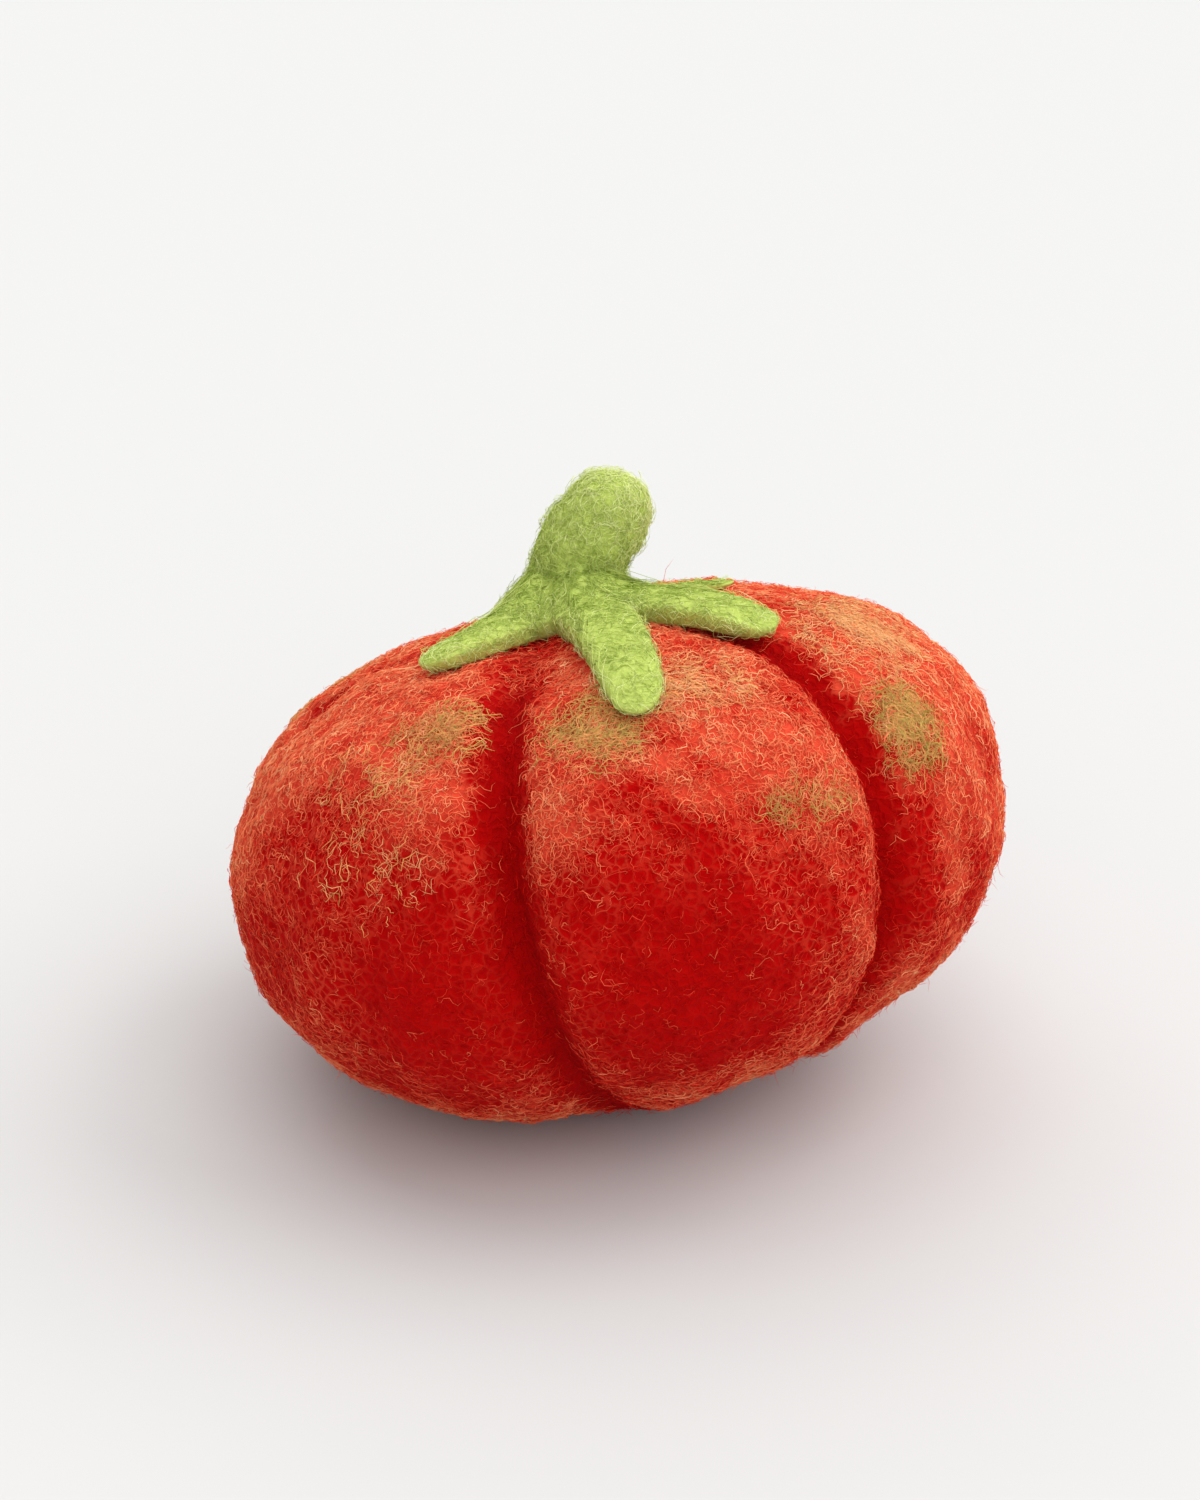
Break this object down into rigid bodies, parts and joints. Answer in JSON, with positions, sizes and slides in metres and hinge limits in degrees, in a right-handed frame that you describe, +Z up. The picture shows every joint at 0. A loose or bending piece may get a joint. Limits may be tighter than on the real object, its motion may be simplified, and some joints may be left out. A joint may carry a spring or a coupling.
{
  "type": "tomato pincushion",
  "caption": "Needle-felted heirloom tomato pincushion with deep creases, coral and olive wool wisps, and a green calyx with a bent stem.",
  "frame": {"origin": "centre of the bounding box at the surface that the tomato rests on", "axes": "+Z up, +X along the long way across the body; the pole axis leans about 18 degrees, back towards +Y and left towards -X"},
  "size_m": [0.0842, 0.0796, 0.0682],
  "materials": {
    "core_wool": "matt undyed wool batting",
    "red_wool": "matt needle-felted wool",
    "coral_wool": "matt loose curly wool fibres",
    "olive_wool": "matt loose curly wool fibres",
    "green_wool": "matt needle-felted wool"
  },
  "bodies": {
    "root": {"back_left_coral_veil": "coral_wool", "back_left_crown_tuft": "olive_wool", "back_left_flank_tuft": "olive_wool", "back_left_lobe": "red_wool", "back_right_coral_veil": "coral_wool", "back_right_crown_tuft": "olive_wool", "back_right_lobe": "red_wool", "back_right_sepal": "green_wool", "back_sepal": "green_wool", "calyx_hub": "green_wool", "front_collar_tuft": "olive_wool", "front_coral_veil": "coral_wool", "front_crown_tuft": "olive_wool", "front_lobe": "red_wool", "front_right_sepal": "green_wool", "front_sepal": "green_wool", "front_shoulder_tuft": "olive_wool", "left_brow_tuft": "olive_wool", "left_coral_veil": "coral_wool", "left_flank_tuft": "olive_wool", "left_lobe": "red_wool", "left_low_tuft": "olive_wool", "left_sepal": "green_wool", "right_coral_veil": "coral_wool", "right_crown_tuft": "olive_wool", "right_flank_tuft": "olive_wool", "right_lobe": "red_wool", "stem": "green_wool", "wool_core": "core_wool"}
  },
  "joints": []
}
